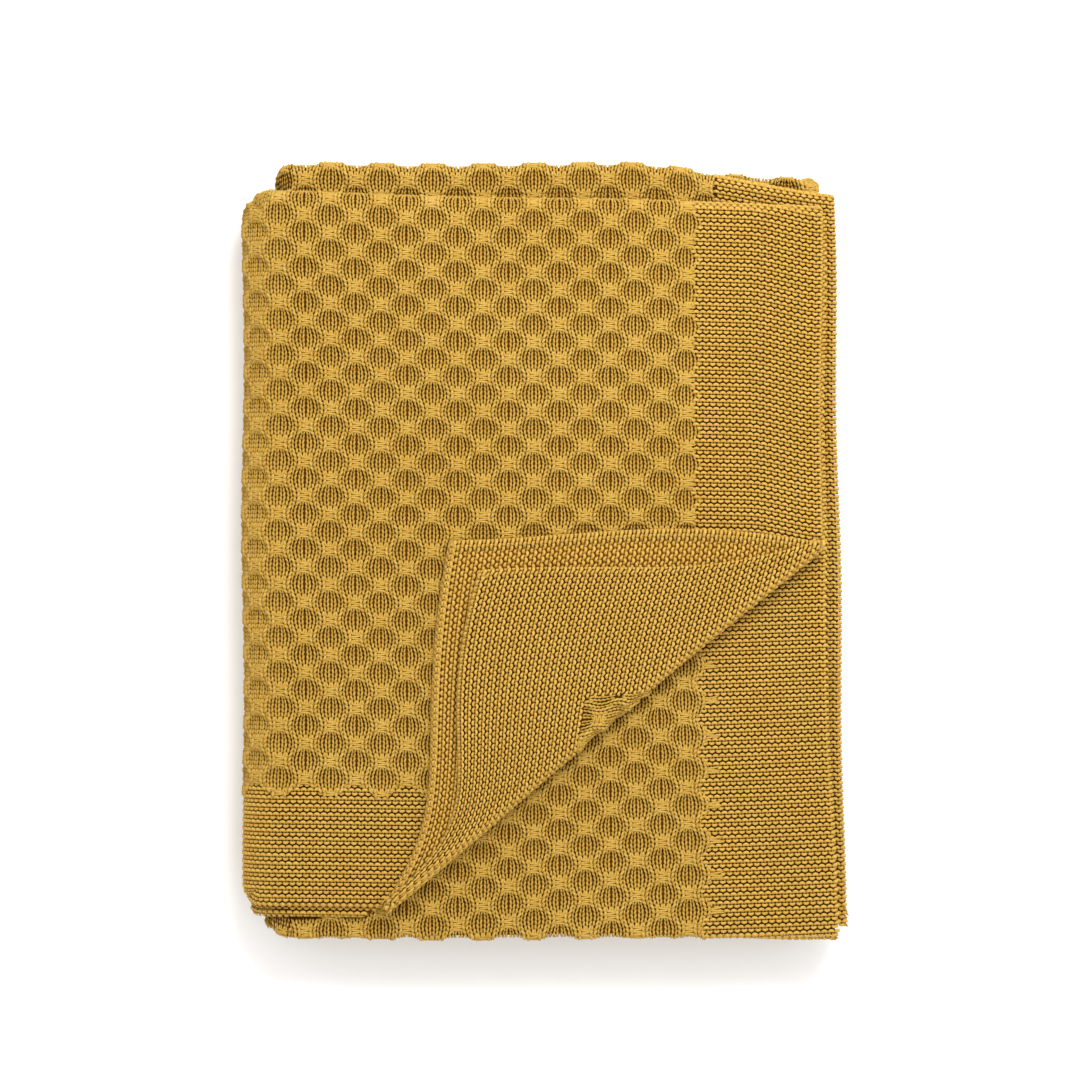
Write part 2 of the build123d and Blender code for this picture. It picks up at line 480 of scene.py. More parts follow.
def settle(points, packet):
    """The pack as it was left: back edges askew, sides spreading to the front, soft waves."""
    x, y, z = points.T
    back_edge = BACK_OF["top" if packet == "under" else packet]
    front_edge = TOP_HEM if packet == "top" else FRONT_OF["top" if packet == "under" else packet]
    x, y = round_corner(x, y, back_edge, 1, BACK_ROUND[packet])
    x, y = round_corner(x, y, front_edge, -1, FRONT_ROUND[packet])
    towards_back = np.clip((y - FRONT) / (BACK - FRONT), 0, 1)
    to_right = np.clip(x / RIGHT, 0, 1)
    if packet in ("top", "under"):
        slope = -SIDE_TO_SIDE_SLOPE * (x - LEFT)
    else:
        forward, begin = BACK_ASKEW[packet]
        slope = -forward * smooth((x - begin) / ASKEW_WIDTH)
    lean = np.zeros_like(x)
    if packet == "second":
        lean = -SECOND_LEAN * towards_back * to_right
    if packet == "under":
        lean = np.maximum(UNDER_SPREAD - UNDER_TAPER * (y - FRONT), -UNDER_LEAN) * to_right
    wave = np.sin(x / (41 * MM) + 1.3) * np.sin(y / (57 * MM) + 0.4)
    ripple = np.sin(y / (29 * MM) + x / (83 * MM))
    settled = np.empty_like(points)
    settled[:, 0] = x + lean + 0.7 * MM * ripple * np.abs(x) / RIGHT
    settled[:, 1] = y + slope * towards_back ** 2 + 0.5 * MM * np.sin(x / (33 * MM))
    settled[:, 2] = z + 0.9 * MM * wave * np.clip(z / cad_box[1].z, 0, 1)
    return settled


def carried(rolls, height, packet, down=False):
    """The way from flat cloth to its place: round each fold in turn, then to its height."""

    def form(points):
        for turn in rolls:
            points = roll(points, *turn)
        placed = points.copy()
        placed[:, 2] = height + (-points[:, 2] if down else points[:, 2])
        return settle(placed, packet)

    return form


# ---- Knitting a piece ----
draws = np.random.default_rng(7)


def tiled(stitch, low, high):
    """Repeats of a stitch pattern over a rectangle, as one mesh."""
    size, start = stitch["size"], stitch["start"]
    first = [math.floor((low[i] - start[i]) / size[i]) - 1 for i in (0, 1)]
    counts = [math.ceil((high[i] - start[i]) / size[i]) + 1 - first[i] for i in (0, 1)]
    holder = bpy.data.objects.new("holder", stitch["mesh"])
    bpy.context.scene.collection.objects.link(holder)
    for i in (0, 1):
        array = holder.modifiers.new("repeat", "ARRAY")
        array.count = counts[i]
        array.use_relative_offset = False
        array.use_constant_offset = True
        array.constant_offset_displace = [size[i] if k == i else 0 for k in range(3)]
    shown = holder.evaluated_get(bpy.context.evaluated_depsgraph_get())
    mesh = bpy.data.meshes.new_from_object(shown)
    bpy.data.objects.remove(holder)
    points = np.zeros(len(mesh.vertices) * 3)
    mesh.vertices.foreach_get("co", points)
    points = points.reshape(-1, 3)
    points[:, :2] += [start[i] + first[i] * size[i] for i in (0, 1)]
    copies = counts[0] * counts[1]
    strands = np.tile(stitch["strands"], copies)
    strands += np.repeat(np.arange(copies) * stitch["count"], len(stitch["strands"]))
    return mesh, points, strands


def turned_inside_out(form, at):
    """True if the way to a piece's place would leave its faces looking inwards."""
    step = 0.05 * MM
    corners = np.array([at, at, at, at]) + np.vstack([np.zeros(3), np.eye(3) * step])
    moved = form(corners)
    return np.linalg.det(moved[1:] - moved[0]) < 0


def knit(name, stitch, low, high, form, material, inside=None, rows=None, flatten=1.0):
    """Knitting set out flat from low to high, then carried to its place.

    inside says which yarns are wanted, rows raises the rows by x, flatten presses it thinner.
    """
    mesh, points, strands = tiled(stitch, low, high)
    if rows is not None:
        points[:, 1] += rows(points[:, 0])
    points[:, 2] *= flatten
    total = strands.max() + 1
    sizes = np.maximum(np.bincount(strands, minlength=total), 1)
    middles = np.stack([np.bincount(strands, points[:, i], total) / sizes for i in range(3)], 1)
    wanted = np.all((middles[:, :2] > low) & (middles[:, :2] < high), axis=1)
    if inside is not None:
        wanted &= inside(middles)
    tones = draws.random(total)
    kept = wanted[strands]
    bm = bmesh.new()
    bm.from_mesh(mesh)
    bmesh.ops.delete(bm, geom=[v for v, keep in zip(bm.verts, kept) if not keep], context="VERTS")
    points = points[kept]
    if turned_inside_out(form, points.mean(0)):
        bmesh.ops.reverse_faces(bm, faces=bm.faces)
    bm.to_mesh(mesh)
    bm.free()
    # The depth attribute carries painted shade: the material darkens each point by how low it lies in the
    # knit's relief.
    height = (points[:, 2] / flatten - RELIEF_LOW + 0.7 * MM) / (3.9 * MM)
    for label, values in (("depth", np.clip(height, 0, 1)), ("tone", tones[strands[kept]])):
        attribute = mesh.attributes.new(label, "FLOAT", "POINT")
        attribute.data.foreach_set("value", values.astype(np.float32))
    mesh.vertices.foreach_set("co", form(points).astype(np.float32).ravel())
    mesh.polygons.foreach_set("use_smooth", np.ones(len(mesh.polygons), bool))
    mesh.update()
    mesh.name = name
    mesh.materials.clear()
    mesh.materials.append(material)
    piece = bpy.data.objects.new(name, mesh)
    bpy.context.scene.collection.objects.link(piece)
    return piece


# ---- The folded cloth under the yarn ----
SHEET_THICKNESS = 0.3 * MM
SHEET_DEPTH = 1.55 * MM                     # from the middle of a layer to its wrong side
COLUMN = 12 * MM
TURN_STEPS = 8
HALF_CIRCLE = np.linspace(0, math.pi, TURN_STEPS + 1)


def folded(runs):
    """Cloth seen from the side: level runs, each (from y, to y, height), joined by half turns."""
    stations = []
    for run, (y_from, y_to, height) in enumerate(runs):
        steps = math.ceil(abs(y_to - y_from) / COLUMN)
        stations += [(y, height) for y in np.linspace(y_from, y_to, steps + 1)]
        if run + 1 < len(runs):
            rise = (runs[run + 1][2] - height) / 2
            outward = math.copysign(rise, y_to - y_from)
            for turn in HALF_CIRCLE[1:-1]:
                stations.append((y_to + outward * math.sin(turn), height + rise * (1 - math.cos(turn))))
    return stations


def packet_stations(packet, hems, flipped):
    """A packet's one piece of cloth: from its first hem, through all four layers, to its second."""
    first_hem, second_hem = (y + EDGE_INSET for y in hems)
    back_y = BACK_OF[packet] - OUTER_TURN - INNER_TURN
    front_y = FRONT_OF[packet] + INNER_TURN
    heights = [layer_height(packet, layer) - SHEET_DEPTH for layer in range(4)]
    heights[0] += 2 * SHEET_DEPTH
    stations = folded([
        (first_hem, back_y, heights[3]),
        (back_y, front_y, heights[0]),
        (front_y, back_y - PLY, heights[1]),
        (back_y - PLY, second_hem, heights[2]),
    ])
    if flipped:
        stations = [(y, 2 * BASE[packet] + PACKET - z) for y, z in stations]
    return stations


def strip(stations, x_low, x_high, columns):
    """A strip of cloth from x_low to x_high that follows the stations."""
    bm = bmesh.new()
    rows = len(stations) - 1
    bmesh.ops.create_grid(bm, x_segments=columns, y_segments=rows, size=1)
    for vertex in bm.verts:
        across = (vertex.co.x + 1) / 2
        station = stations[round((vertex.co.y + 1) / 2 * rows)]
        vertex.co = (x_low + (x_high - x_low) * across, *station)
    return bm


def cloth(name, bm, form):
    """Finishes a sheet of cloth and gives it its thickness; its area is worked out but not used."""
    area = sum(face.calc_area() for face in bm.faces)
    mesh = bpy.data.meshes.new(name)
    bm.to_mesh(mesh)
    bm.free()
    points = np.zeros(len(mesh.vertices) * 3)
    mesh.vertices.foreach_get("co", points)
    mesh.vertices.foreach_set("co", form(points.reshape(-1, 3)).astype(np.float32).ravel())
    mesh.polygons.foreach_set("use_smooth", np.ones(len(mesh.polygons), bool))
    mesh.update()
    # Its material's dark brown is painted shade for the gaps between yarns.
    mesh.materials.append(shaded_gap_material)
    piece = bpy.data.objects.new(name, mesh)
    bpy.context.scene.collection.objects.link(piece)
    thickness = piece.modifiers.new("thickness", "SOLIDIFY")
    thickness.thickness = SHEET_THICKNESS
    thickness.offset = 0
    return piece


OUTER_BLEND = ((FOLD_X, 0, BASE["third"]), (FOLD_X, 0, BASE["top"]))
INNER_BLEND = ((FOLD_X, 0, HINGE_Z - 8 * MM), (FOLD_X, 0, HINGE_Z + 8 * MM))


def back_turn(packet):
    """A packet's outer back fold."""
    return (1, 1, BACK_OF[packet] - OUTER_TURN - INNER_TURN, OUTER_TURN)


def side_edge(x):
    return (0, 1, x - EDGE_INSET, EDGE_TURN)


def hem_edge(y):
    return (1, -1, y + EDGE_INSET, EDGE_TURN)


def front_turn(y):
    """The fold along the front between two neighbouring layers."""
    return (1, -1, y + INNER_TURN, INNER_TURN)


def left_turn(height):
    return (0, -1, FOLD_X, height - HINGE_Z)


def right_turn(height):
    return (0, 1, TURN_X, height - TURN_Z)


EDGE_WRAP = math.pi * EDGE_TURN
HALF_TURN = math.pi * OUTER_TURN
FRONT_WRAP = math.pi * INNER_TURN
JOIN = 2.6 * MM                             # how far border stitches run in under the honeycomb's edge

# ---- The top packet's uppermost layer ----
top_height = layer_height("top", 3)
top_back_y = BACK_OF["top"] - OUTER_TURN - INNER_TURN
field_edge = SELVEDGE - BORDER
hem_top = TOP_HEM + HEM_DEPTH
RAGGED = 3.2 * MM                           # the honeycomb's uneven edge against the borders
DROOP = 6.5 * MM                            # the border's rows hang towards the front at the selvedge


def on_the_pack(middles):
    return inward(middles) > 0


def left_of_border(middles, edge, rows_up=0.0, overlap=0.0):
    """The honeycomb's side of its border: the line goes in at each hollow that it would cut."""
    wave = np.cos((middles[:, 1] - rows_up - CELL_START[1]) * 2 * math.pi / CELL_Y)
    return middles[:, 0] < edge - RAGGED * wave - overlap


def in_top_field(middles, overlap=0.0):
    wave = np.cos((middles[:, 0] - CELL_START[0]) * 2 * math.pi / CELL_X)
    above_hem = middles[:, 1] > hem_top + RAGGED * (0.6 + wave) + overlap
    return left_of_border(middles, field_edge, overlap=overlap) & above_hem


def field_shown(middles):
    return on_the_pack(middles) & in_top_field(middles)


def border_shown(middles):
    return on_the_pack(middles) & ~in_top_field(middles, overlap=JOIN)


def drooping_rows(x):
    return -DROOP * smooth((x - SELVEDGE + 42 * MM) / (44 * MM))


top_end = top_back_y + HALF_TURN + 6 * MM
field_split = 25 * MM
top_rolls = [back_turn("top")]
for name, y_low, y_high, stands_for in (
    ("top_field_front", hem_top - RAGGED, field_split, "top_leaf_field"),
    ("top_field_back", field_split, top_end, "top_packet_back_fold"),
):
    piece = knit(name, honeycomb, (FOLD_X, y_low), (field_edge + RAGGED, y_high),
                 carried(top_rolls, top_height, "top"), yarn_field, field_shown)
    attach(piece, "upper_half")
    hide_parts(stands_for)

side_rolls = [side_edge(SELVEDGE), back_turn("top")]
piece = knit("top_side_border", garter, (field_edge - 2 * RAGGED, TOP_HEM),
             (SELVEDGE + EDGE_WRAP, top_end), carried(side_rolls, top_height, "top"), yarn_border,
             border_shown, drooping_rows)
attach(piece, "upper_half")
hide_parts("top_leaf_side_border")

hem_rolls = [hem_edge(TOP_HEM), side_edge(SELVEDGE)]
piece = knit("top_hem", garter, (FOLD_X, TOP_HEM - EDGE_WRAP), (field_edge - RAGGED, hem_top + 2 * RAGGED),
             carried(hem_rolls, top_height, "top"), yarn_border, border_shown)
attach(piece, "upper_half")
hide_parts("top_leaf_hem")

# ---- The layer below it, seen along its hem ----
second_height = layer_height("top", 2)
piece = knit("second_hem_strip", garter, (FOLD_X, SECOND_HEM - EDGE_WRAP), (SELVEDGE, TOP_HEM + 8 * MM),
             carried([hem_edge(SECOND_HEM)], second_height, "top"), yarn_border, on_the_pack)
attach(piece, "upper_half")
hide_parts("second_leaf")

# ---- The under leaf, which the turned-back corner leaves bare ----
under_height = layer_height("top", 1)


def under_rows(x):
    """The under leaf lies a little turned, so its rows rise to the right."""
    return 0.055 * x


def under_shown(middles):
    bare = inward(middles) < 14 * MM
    at_edge = (middles[:, 1] < FRONT + 9 * MM) | (middles[:, 0] > UNDER_SELVEDGE - 12 * MM)
    return bare | at_edge


def under_field_shown(middles):
    return under_shown(middles) & left_of_border(middles, under_field_edge, under_rows(middles[:, 0]))


def under_border_shown(middles):
    field = left_of_border(middles, under_field_edge, under_rows(middles[:, 0]), JOIN)
    return under_shown(middles) & ~field


under_rolls = [front_turn(FRONT), side_edge(UNDER_SELVEDGE)]
under_low_y = FRONT - FRONT_WRAP - 2 * MM
under_field_edge = UNDER_SELVEDGE - BORDER
piece = knit("under_leaf_field", honeycomb, (FOLD_X, under_low_y), (under_field_edge + RAGGED, 0),
             carried(under_rolls, under_height, "under"), yarn_field, under_field_shown, under_rows)
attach(piece, "upper_half")
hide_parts("under_leaves")
piece = knit("under_leaf_border", garter, (under_field_edge - 2 * RAGGED, under_low_y),
             (UNDER_SELVEDGE + EDGE_WRAP, top_back_y),
             carried(under_rolls, under_height, "under"), yarn_border, under_border_shown, under_rows)
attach(piece, "upper_half")

# ---- The second packet: a strip along its back and one along its right side ----
second_top = layer_height("second", 3)
second_back_y = BACK_OF["second"] - OUTER_TURN - INNER_TURN
second_end = second_back_y + HALF_TURN + 6 * MM
second_field_edge = RIGHT - BORDER
piece = knit("second_packet_back", honeycomb, (FOLD_X, BACK_OF["top"] - 30 * MM),
             (second_field_edge, second_end),
             carried([back_turn("second")], second_top, "second"), yarn_field)
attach(piece, "upper_half")
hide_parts("second_packet_back_fold")


def second_border_shown(middles):
    return (middles[:, 1] > BACK_OF["top"] - 30 * MM) | (middles[:, 0] > SELVEDGE - 10 * MM)


piece = knit("second_packet_border", garter, (second_field_edge, FRONT_OF["second"]),
             (RIGHT + EDGE_WRAP, second_end),
             carried([side_edge(RIGHT), back_turn("second")], second_top, "second"),
             yarn_border, second_border_shown)
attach(piece, "upper_half")
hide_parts("second_packet_side_border")

# ---- Free side edges of the layers in between ----
for name, height, x, packet in (
    ("top_layer_3_edge", layer_height("top", 2), SELVEDGE, "top"),
    ("top_layer_1_edge", layer_height("top", 0), UNDER_SELVEDGE, "under"),
    ("second_layer_3_edge", layer_height("second", 2), RIGHT, "second"),
    ("second_layer_2_edge", layer_height("second", 1), RIGHT, "second"),
    ("second_layer_1_edge", layer_height("second", 0), RIGHT, "second"),
):
    y_high = BACK_OF["top" if packet != "second" else "second"] - 2 * OUTER_TURN
    above_crease = on_the_pack if name == "top_layer_3_edge" else None
    piece = knit(name, garter_plain, (x - 9 * MM, FRONT_OF["second"]), (x + EDGE_WRAP, y_high),
                 carried([side_edge(x)], height, packet), yarn_border, above_crease)
    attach(piece, "upper_half")

# ---- The lower packets' back folds and right fold ----
for packet in ("third", "fourth"):
    turn_y = BACK_OF[packet] - OUTER_TURN - INNER_TURN
    piece = knit(f"{packet}_packet_back", honeycomb_plain, (FOLD_X, turn_y - 12 * MM),
                 (TURN_X, turn_y + HALF_TURN),
                 carried([back_turn(packet)], layer_height(packet, 3), packet), yarn_field)
    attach(piece, "lower_half")
    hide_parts(f"{packet}_packet_back_fold")
right_height = layer_height("third", 3)
right_reach = math.pi * (right_height - TURN_Z)
third_turn_y = BACK_OF["third"] - OUTER_TURN - INNER_TURN
piece = knit("right_fold_knit", honeycomb, (TURN_X, FRONT_OF["third"]),
             (TURN_X + right_reach, third_turn_y + HALF_TURN * 0.9),
             carried([back_turn("third"), right_turn(right_height)], right_height, "third"),
             yarn_field)
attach(piece, "lower_half")
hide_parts("right_fold")

# ---- Fronts: each packet has one fold between two layers, and two hems ----
for packet, body, fold_layer, hem_layers, x_high in (
    ("second", "upper_half", 3, (1, 0), RIGHT),
    ("third", "lower_half", 1, (3, 2), TURN_X),
    ("fourth", "lower_half", 3, (1, 0), TURN_X),
):
    front = FRONT_OF[packet]
    height = layer_height(packet, fold_layer)
    piece = knit(f"{packet}_packet_front_fold", honeycomb_plain, (FOLD_X, front - FRONT_WRAP),
                 (x_high, front + 9 * MM), carried([front_turn(front)], height, packet), yarn_field)
    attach(piece, body)
    for layer in hem_layers:
        piece = knit(f"{packet}_packet_hem_{layer}", garter_plain, (FOLD_X, front - EDGE_WRAP),
                     (x_high, front + 9 * MM),
                     carried([hem_edge(front)], layer_height(packet, layer), packet), yarn_border)
        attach(piece, body)

# ---- The left folds ----
outer_radius = top_height - HINGE_Z
outer_reach = math.pi * outer_radius
outer_field = knit("left_fold_field", honeycomb, (FOLD_X - outer_reach, hem_top - RAGGED),
                   (FOLD_X, top_end - 6 * MM),
                   carried([back_turn("top"), left_turn(top_height)], top_height, "top"),
                   yarn_field, field_shown)
outer_hem = knit("left_fold_hem", garter, (FOLD_X - outer_reach, TOP_HEM - EDGE_WRAP),
                 (FOLD_X, hem_top + 2 * RAGGED),
                 carried([hem_edge(TOP_HEM), left_turn(top_height)], top_height, "top"),
                 yarn_border, border_shown)
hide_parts("outer_fold")
left_pieces = [(outer_field, OUTER_BLEND), (outer_hem, OUTER_BLEND)]
for name, height, front, stitch, turn, wrap, packet in (
    ("left_second_hem", layer_height("top", 2), SECOND_HEM, garter_plain, hem_edge, EDGE_WRAP, "top"),
    ("left_front_fold", layer_height("top", 1), FRONT, honeycomb_plain, front_turn, FRONT_WRAP, "under"),
    ("left_inner_front_fold", layer_height("second", 3), FRONT_OF["second"], honeycomb_plain,
     front_turn, FRONT_WRAP, "second"),
):
    reach = math.pi * (height - HINGE_Z)
    material = yarn_border if stitch is garter_plain else yarn_field
    piece = knit(name, stitch, (FOLD_X - reach, front - wrap), (FOLD_X, front + 9 * MM),
                 carried([turn(front), left_turn(height)], height, packet), material)
    left_pieces.append((piece, INNER_BLEND if "inner" in name else OUTER_BLEND))
inner_height = layer_height("second", 3)
inner_reach = math.pi * (inner_height - HINGE_Z)
inner_field = knit("left_inner_back", honeycomb_plain, (FOLD_X - inner_reach, BACK_OF["top"] - 20 * MM),
                   (FOLD_X, second_back_y + HALF_TURN * 0.9),
                   carried([back_turn("second"), left_turn(inner_height)], inner_height, "second"),
                   yarn_field)
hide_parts("inner_fold")
left_pieces.append((inner_field, INNER_BLEND))
for piece, (start, end) in left_pieces:
    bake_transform(piece)

# ---- Faces that show when the pack opens, and the underside ----
third_top = layer_height("third", 3)
piece = knit("third_packet_face", honeycomb_plain, (FOLD_X, FRONT_OF["third"] + HEM_DEPTH),
             (TURN_X, third_turn_y - 12 * MM), carried([], third_top, "third"), yarn_field)
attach(piece, "lower_half")
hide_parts("third_packet")
piece = knit("third_packet_hem", garter_plain, (FOLD_X, FRONT_OF["third"] + 9 * MM),
             (TURN_X, FRONT_OF["third"] + HEM_DEPTH), carried([], third_top, "third"), yarn_border)
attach(piece, "lower_half")
piece = knit("underside", honeycomb_plain, (FOLD_X, FRONT_OF["fourth"] + 2 * MM),
             (TURN_X, BACK_OF["fourth"] - 8 * MM),
             carried([], layer_height("fourth", 0), "fourth", down=True), yarn_field, flatten=0.7)
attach(piece, "lower_half")
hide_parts("fourth_packet")
second_bottom = layer_height("second", 0)
piece = knit("second_packet_face", honeycomb_plain, (FOLD_X, FRONT_OF["second"] + HEM_DEPTH),
             (second_field_edge, second_back_y), carried([], second_bottom, "second", down=True),
             yarn_field, flatten=0.7)
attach(piece, "upper_half")
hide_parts("second_packet")
for name, low, high in (
    ("second_packet_face_hem", (FOLD_X, FRONT_OF["second"]),
     (second_field_edge, FRONT_OF["second"] + HEM_DEPTH)),
    ("second_packet_face_border", (second_field_edge, FRONT_OF["second"]),
     (RIGHT - 2 * MM, second_back_y)),
):
    piece = knit(name, garter_plain, low, high, carried([], second_bottom, "second", down=True),
                 yarn_border, flatten=0.7)
    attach(piece, "upper_half")

# ---- The cloth itself, under the yarn: one folded piece for each packet ----
def settle_packet(points, packet, heights):
    """Settles all four layers. The top packet's two lower ones reach further right."""
    if packet != "top":
        return settle(points, packet)
    upper = smooth((heights - BASE["top"] - 1.4 * PLY) / (1.2 * PLY))[:, None]
    lower_points = points.copy()
    lower_points[:, 0] += (UNDER_SELVEDGE - SELVEDGE) * np.clip(points[:, 0] / SELVEDGE, 0, 1)
    return settle(points, "top") * upper + settle(lower_points, "under") * (1 - upper)


def laid_flat(packet):
    """The way of a packet's cloth between its side folds."""

    def form(points):
        return settle_packet(points, packet, points[:, 2])

    return form


def side_fold(packet, sign, edge, radius):
    """The way round a side fold that takes in all of a packet's layers."""
    middle = np.array((0, 0, BASE[packet] + PACKET / 2))

    def form(points):
        rolled = roll(points - middle, 0, sign, edge, radius) + middle
        return settle_packet(rolled, packet, points[:, 2])

    return form


def cut_at_crease(bm):
    """The two uppermost layers end at the crease, where the turned-back corner begins."""
    upper = [face for face in bm.faces if face.calc_center_median().z > BASE["top"] + 1.8 * PLY]
    parts = {item for face in upper for item in (face, *face.edges, *face.verts)}
    bmesh.ops.bisect_plane(bm, geom=list(parts), dist=1e-6, plane_co=(*ROLL, 0),
                           plane_no=(*INWARD, 0), clear_inner=True)


for packet, body, hems, x_high, flipped in (
    ("top", "upper_half", (TOP_HEM, SECOND_HEM), SELVEDGE - EDGE_INSET, False),
    ("second", "upper_half", (FRONT_OF["second"],) * 2, RIGHT - EDGE_INSET, True),
    ("third", "lower_half", (FRONT_OF["third"],) * 2, TURN_X, False),
    ("fourth", "lower_half", (FRONT_OF["fourth"],) * 2, TURN_X, True),
):
    stations = packet_stations(packet, hems, flipped)
    bm = strip(stations, FOLD_X, x_high, math.ceil((x_high - FOLD_X) / COLUMN))
    if packet == "top":
        cut_at_crease(bm)
    piece = cloth(f"{packet}_packet_cloth", bm, laid_flat(packet))
    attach(piece, body)
    radius = BASE[packet] + PACKET / 2 - HINGE_Z
    if radius > 0:
        fold_width = math.pi * radius
        bm = strip(stations, FOLD_X - fold_width, FOLD_X, 2 * TURN_STEPS)
        piece = cloth(f"{packet}_left_fold_cloth", bm, side_fold(packet, -1, FOLD_X, radius))
        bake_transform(piece)
    if packet == "third":
        fold_width = math.pi * PACKET / 2
        bm = strip(stations, TURN_X, TURN_X + fold_width, 2 * TURN_STEPS)
        piece = cloth("right_fold_cloth", bm, side_fold(packet, 1, TURN_X, PACKET / 2))
        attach(piece, body)

# ---- The turned-back corner ----
CREASE_LENGTH = 305.8 * MM                  # from the hem to the selvedge
crease_hem = ROLL - ALONG * CREASE_LENGTH / 2
crease_side = ROLL + ALONG * CREASE_LENGTH / 2
FLAP_BORDER = 78 * MM                       # the loose corner has spread a little
FLAP_HEM = 76 * MM
BOW_POWER = (2.4, 1.6)                      # how near the crease the hem and selvedge bow most
EDGE_BEAD = 0.9 * MM                        # the thicker chain of stitches along its edges
FACE_FLAT = 0.5                             # the side that faces down is pressed flat
FACE_PROUD = 0.9 * MM
FLAP_LEAN = 0.3
FLAP_RISE = 30 * MM                         # from the crease to where it lies at its full height


class Corner:
    """One turned-back layer: its tip, and the directions of its hem and its selvedge."""

    def __init__(self, tip_along, tip_reach, radius, hem_bow, side_bow, lift):
        self.lift = lift
        self.tip = crease_hem + ALONG * tip_along + INWARD * tip_reach
        self.radius = radius
        self.bows = (hem_bow, side_bow)
        self.lengths = [np.linalg.norm(end - self.tip) for end in (crease_hem, crease_side)]
        self.hem = (crease_hem - self.tip) / self.lengths[0]
        self.side = (crease_side - self.tip) / self.lengths[1]

    def plan(self, points):
        """From distances off the two edges to where that cloth lies, seen from above."""
        laid = points.copy()
        laid[:, :2] = self.tip + points[:, :1] * self.hem + points[:, 1:2] * self.side
        for edge, inwards in enumerate((self.side, self.hem)):
            share = np.clip(points[:, edge] / self.lengths[edge], 0, 1)
            near = np.exp(-np.maximum(points[:, 1 - edge], 0) / FLAP_BORDER)
            bow = self.bows[edge] * np.sin(math.pi * share ** BOW_POWER[edge]) * near
            laid[:, :2] += bow[:, None] * inwards
        return laid

    def form(self, down):
        """Cloth wound down round the crease; the side that faces down at rest is down."""
        facing = -1 if down else 1

        def carry(points):
            wrapped = points.copy()
            off_edge = points[:, :2].min(1)
            wrapped[:, 2] += EDGE_BEAD * np.exp(-((off_edge - EDGE_INSET) / (2.2 * MM)) ** 2)
            for axis in (0, 1):
                wrapped = roll(wrapped, axis, -1, EDGE_INSET, EDGE_TURN)
            if down:
                wrapped[:, 2] += FACE_PROUD
            wrapped[:, 2] *= facing
            return self.wound(self.plan(wrapped))

        return carry

    def wound(self, laid):
        """Cloth laid out flat in its direction, wound down round the crease."""
        reach = self.radius + laid[:, 2]
        past = -inward(laid)
        turn = np.clip(past / self.radius, 0, math.pi)
        moved = np.where(past < 0, 0, past - reach * np.sin(turn))
        placed = laid.copy()
        placed[:, :2] += moved[:, None] * INWARD
        placed[:, 2] = ROLL_Z + np.where(past < 0, reach, reach * np.cos(turn))
        placed[:, 2] += self.lift * smooth(-past / FLAP_RISE)
        return settle(placed, "top")

    def blend(self):
        """Where its cloth starts and ends turning: up round the roll, and a little inwards."""
        rising = np.array((*(INWARD * FLAP_LEAN), 1)) / (1 + FLAP_LEAN ** 2)
        middle = np.array((*ROLL, ROLL_Z))
        return tuple(middle - rising * self.radius), tuple(middle + rising * self.radius * 0.6)

    def reaches(self, middles):
        """True up to where the cloth has gone all the way round the crease."""
        laid = self.plan(middles)
        laid[:, 2] = 0
        placed = self.wound(laid)
        on_the_pack = (placed[:, 0] < SELVEDGE) & (placed[:, 1] > TOP_HEM - 1 * MM)
        return (inward(laid) > -math.pi * self.radius) & ((inward(laid) > 0) | on_the_pack)


upper_corner = Corner(
    tip_along=155 * MM,
    tip_reach=105.5 * MM,
    radius=1.545 * PLY,
    hem_bow=23 * MM,
    side_bow=9 * MM,
    lift=2.9 * MM,
)
lower_corner = Corner(
    tip_along=153 * MM,
    tip_reach=128.5 * MM,
    radius=0.545 * PLY,
    hem_bow=12 * MM,
    side_bow=-6 * MM,
    lift=0.9 * MM,
)
CORNER_LONG = 330 * MM
LOWER_STRIP = 36 * MM                       # how far the lower one is knitted in under the upper


def lower_shown(middles):
    """The lower of the two, only where the upper one leaves it bare."""
    laid = lower_corner.plan(middles)[:, :2] - upper_corner.tip
    across = np.linalg.solve(np.stack([upper_corner.hem, upper_corner.side], 1), laid.T)
    return lower_corner.reaches(middles) & (across.min(0) < LOWER_STRIP)


def in_field(middles):
    return (middles[:, 0] > FLAP_BORDER) & (middles[:, 1] > FLAP_HEM)


def border_of(corner):
    return lambda middles: corner.reaches(middles) & ~in_field(middles)


def field_of(corner):
    return lambda middles: corner.reaches(middles) & in_field(middles)


for name, corner, stitch, material, test, down in (
    ("corner_upper_border", upper_corner, garter, yarn_border, border_of(upper_corner), False),
    ("corner_upper_field", upper_corner, honeycomb, yarn_field, field_of(upper_corner), False),
    ("corner_lower_border", lower_corner, garter, yarn_border, lower_shown, False),
    ("corner_lower_face", lower_corner, garter_plain, yarn_border, border_of(lower_corner), True),
    ("corner_lower_face_field", lower_corner, honeycomb_plain, yarn_field, field_of(lower_corner),
     True),
):
    low = (-EDGE_WRAP, -EDGE_WRAP)
    piece = knit(name, stitch, low, (CORNER_LONG, CORNER_LONG), corner.form(down), material, test,
                 flatten=FACE_FLAT if down else 1.0)
    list(corner.blend())
    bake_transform(piece)
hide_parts("corner_second_leaf", "corner_crease")
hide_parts("corner_top_leaf")

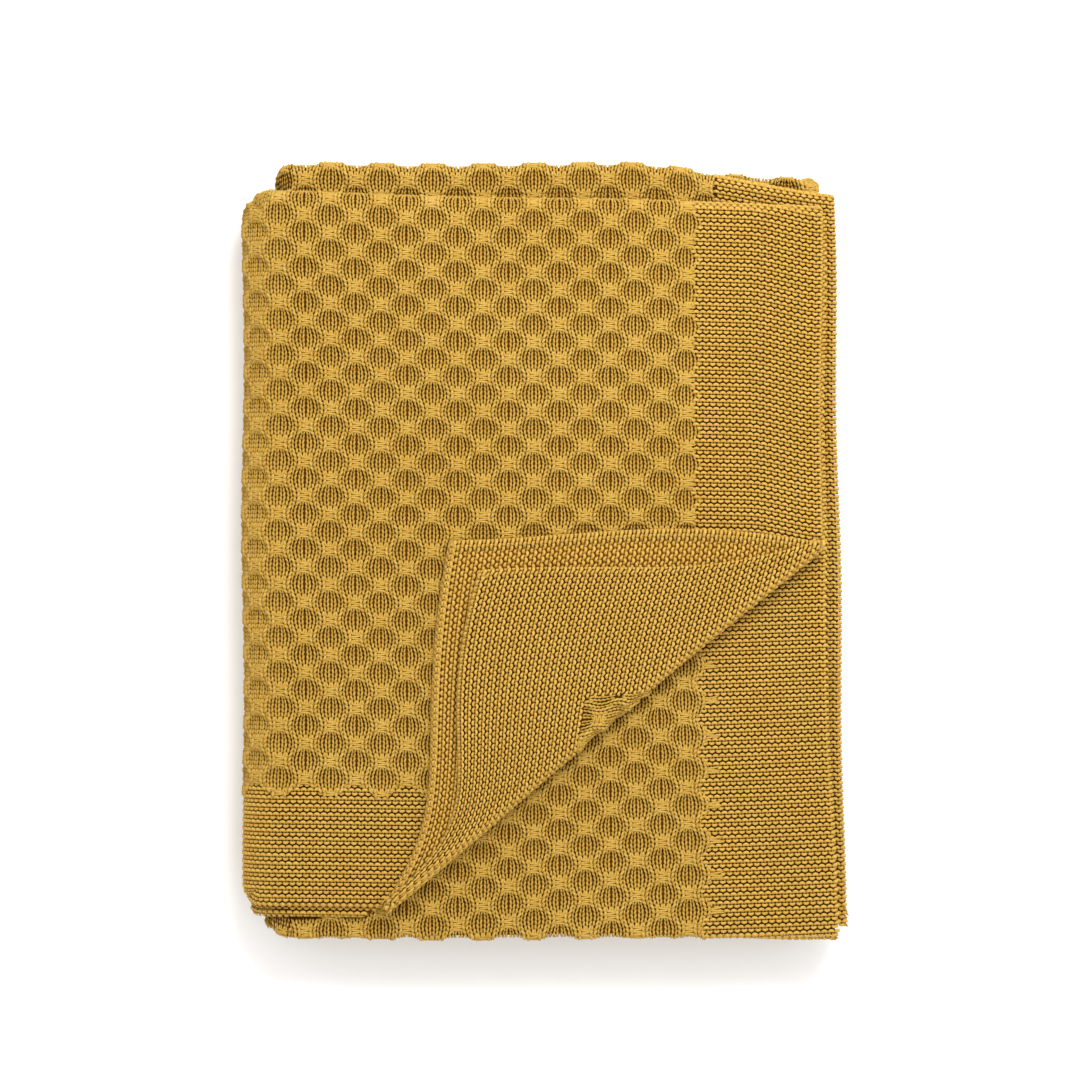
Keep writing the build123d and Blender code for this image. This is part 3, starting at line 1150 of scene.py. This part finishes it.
for name, corner, depth in (
    ("corner_upper_cloth", upper_corner, -SHEET_DEPTH),
    ("corner_lower_cloth", lower_corner, 0),
):
    bm = bmesh.new()
    cells = math.ceil(CORNER_LONG / COLUMN)
    bmesh.ops.create_grid(bm, x_segments=cells, y_segments=cells, size=CORNER_LONG / 2)
    bmesh.ops.translate(bm, verts=bm.verts, vec=[CORNER_LONG / 2 + EDGE_INSET] * 2 + [depth])
    for vertex in bm.verts:
        vertex.co = corner.plan(np.array([vertex.co]))[0]
    for turn in HALF_CIRCLE:
        cut = ROLL - INWARD * corner.radius * turn
        bmesh.ops.bisect_plane(bm, geom=bm.verts[:] + bm.edges[:] + bm.faces[:], dist=1e-6,
                               plane_co=(*cut, 0), plane_no=(*INWARD, 0),
                               clear_inner=bool(turn == math.pi))
    for end, outwards in ((crease_hem, -ALONG), (crease_side, ALONG)):
        bmesh.ops.bisect_plane(bm, geom=bm.verts[:] + bm.edges[:] + bm.faces[:], dist=1e-6,
                               plane_co=(*end, 0), plane_no=(*outwards, 0), clear_outer=True)
    piece = cloth(name, bm, corner.wound)
    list(corner.blend())
    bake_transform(piece)

# ---- Floor, light and camera ----
floor_mesh = bpy.data.meshes.new("floor")
bm = bmesh.new()
bmesh.ops.create_grid(bm, x_segments=1, y_segments=1, size=6)
bm.to_mesh(floor_mesh)
bm.free()
floor = bpy.data.objects.new("floor", floor_mesh)
bpy.context.scene.collection.objects.link(floor)
paper = bpy.data.materials.new("paper")
paper.use_nodes = True
paper_shader = paper.node_tree.nodes["Principled BSDF"]
paper_shader.inputs["Base Color"].default_value = (0.93, 0.93, 0.93, 1)
paper_shader.inputs["Roughness"].default_value = 0.9
floor_mesh.materials.append(paper)

world = bpy.data.worlds.new("studio")
world.use_nodes = True
studio_light = world.node_tree.nodes["Background"]
studio_light.inputs["Color"].default_value = (1, 0.99, 0.98, 1)
studio_light.inputs["Strength"].default_value = 1.2
bpy.context.scene.world = world


def softbox(name, place, size, power):
    light = bpy.data.lights.new(name, "AREA")
    light.shape = "SQUARE"
    light.size = size
    light.energy = power
    lamp = bpy.data.objects.new(name, light)
    lamp.location = place
    lamp.rotation_euler = (Vector((0, 0, 0)) - Vector(place)).to_track_quat("-Z", "Y").to_euler()
    bpy.context.scene.collection.objects.link(lamp)


softbox("key", (0.3, 0.75, 1.1), 0.7, 16)

VIEW_CENTRE = Vector((-2.2, 4.9, 0)) * MM
VIEW_WIDTH = 589.7 * MM                     # at the height of the pack's top
VIEW_DISTANCE = 3.0
camera_data = bpy.data.cameras.new("camera")
camera_data.lens = camera_data.sensor_width * VIEW_DISTANCE / VIEW_WIDTH
camera = bpy.data.objects.new("camera", camera_data)
camera.location = VIEW_CENTRE + UP * (leaf_high.z + VIEW_DISTANCE)
bpy.context.scene.collection.objects.link(camera)
bpy.context.scene.camera = camera
bpy.context.scene.view_settings.view_transform = "Standard"
